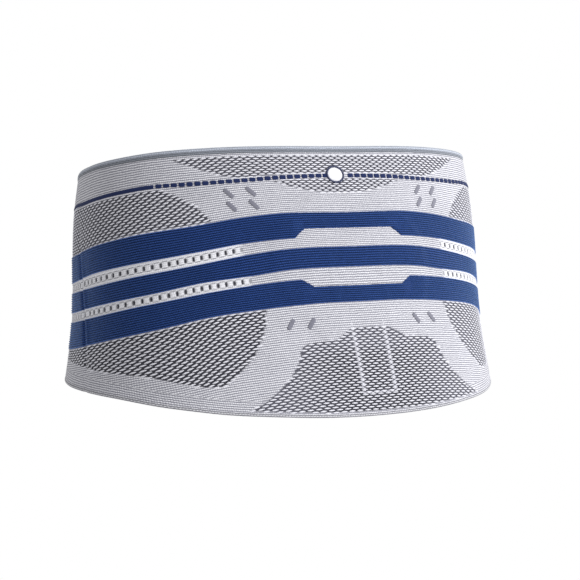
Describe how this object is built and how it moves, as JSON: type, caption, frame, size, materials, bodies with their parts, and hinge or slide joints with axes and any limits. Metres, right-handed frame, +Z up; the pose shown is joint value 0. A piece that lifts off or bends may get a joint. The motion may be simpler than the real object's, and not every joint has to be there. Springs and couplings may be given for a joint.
{
  "type": "lumbar support belt",
  "caption": "Knitted lumbar support belt with ribbed tension bands, an inner massage pad, flexible stays and a front hook and loop closure with finger pockets.",
  "frame": {"origin": "middle of the torso opening, at mid height of the back", "axes": "+Z up, the back of the belt faces -Y, the front closure faces +Y, the wearer's right is +X"},
  "size_m": [0.3468, 0.2555, 0.2],
  "materials": {
    "pale_knit": "fine ribbed compression knit, pale grey with a lilac cast, with open stitch zones",
    "navy_rib": "ribbed elastic knit, navy blue",
    "rim_knit": "rolled double knit edge, blue grey",
    "hem_knit": "tight knitted finishing edge",
    "emblem_ink": "raised print, dark navy, satin",
    "emblem_white": "raised print, white, satin",
    "pad_gel": "soft moulded elastomer, matt",
    "nub_gel": "softer moulded elastomer, satin",
    "lining": "smooth knitted lining",
    "lining_tape": "flat seam tape with cover stitches",
    "stay_steel": "spring steel strip, brushed",
    "cap_plastic": "dipped tip, matt",
    "label_satin": "blank satin label",
    "seam_tape": "stitched joining tape",
    "panel_foam": "brushed loop fabric over thin foam",
    "binding": "folded elastic binding, stitched",
    "loop_pile": "dense loop pile",
    "hook_tape": "moulded hook tape",
    "pocket_fabric": "stretch pocket fabric",
    "pocket_edge": "folded pocket hem"
  },
  "bodies": {
    "back": {"back_knit": "pale_knit", "back_band_upper": "navy_rib", "back_band_middle": "navy_rib", "back_band_lower": "navy_rib", "back_top_rim": "rim_knit", "back_hem": "hem_knit", "emblem_outline": "emblem_ink", "emblem_face": "emblem_white", "massage_pad": "pad_gel", "pad_nubs": "nub_gel", "pad_cover": "lining", "pad_cover_tape": "lining_tape", "left_spine_stay": "stay_steel", "right_spine_stay": "stay_steel", "spine_stay_caps": "cap_plastic", "left_spine_channel": "lining", "right_spine_channel": "lining", "care_label": "label_satin"},
    "left_wing": {"left_wing_knit": "pale_knit", "left_band_upper": "navy_rib", "left_band_middle": "navy_rib", "left_band_lower": "navy_rib", "left_top_rim": "rim_knit", "left_hem": "hem_knit", "left_side_tape": "lining_tape", "left_front_stay": "stay_steel", "left_stay_caps": "cap_plastic", "left_front_channel": "lining", "left_panel_seam": "seam_tape", "inner_panel": "panel_foam", "inner_panel_binding": "binding", "loop_field": "loop_pile", "inner_finger_pocket": "pocket_fabric", "inner_pocket_hem": "pocket_edge"},
    "right_wing": {"right_wing_knit": "pale_knit", "right_band_upper": "navy_rib", "right_band_middle": "navy_rib", "right_band_lower": "navy_rib", "right_top_rim": "rim_knit", "right_hem": "hem_knit", "right_side_tape": "lining_tape", "right_front_stay": "stay_steel", "right_stay_caps": "cap_plastic", "right_front_channel": "lining", "right_panel_seam": "seam_tape", "outer_panel_root": "panel_foam", "outer_root_binding": "binding"},
    "right_flap": {"outer_flap": "panel_foam", "outer_flap_binding": "binding", "hook_patch": "hook_tape", "outer_finger_pocket": "pocket_fabric", "outer_pocket_hem": "pocket_edge"}
  },
  "joints": [
    {"name": "right_wing_open", "type": "hinge", "parent": "back", "child": "right_wing", "pos_m": [0.16784, 0, 0.005], "axis": [0.0797, 0, -0.9968], "range_deg": [0, 70]},
    {"name": "left_wing_open", "type": "hinge", "parent": "back", "child": "left_wing", "pos_m": [-0.16784, 0, 0.005], "axis": [0.0797, 0, 0.9968], "range_deg": [0, 36]},
    {"name": "outer_flap_peel", "type": "hinge", "parent": "right_wing", "child": "right_flap", "pos_m": [0.05632, 0.1174, 0.004], "axis": [0.0389, 0.0781, -0.9962], "range_deg": [0, 110]}
  ],
  "couplings": [
    {"joint": "left_wing_open", "follows": "right_wing_open", "ratio": 0.5}
  ]
}
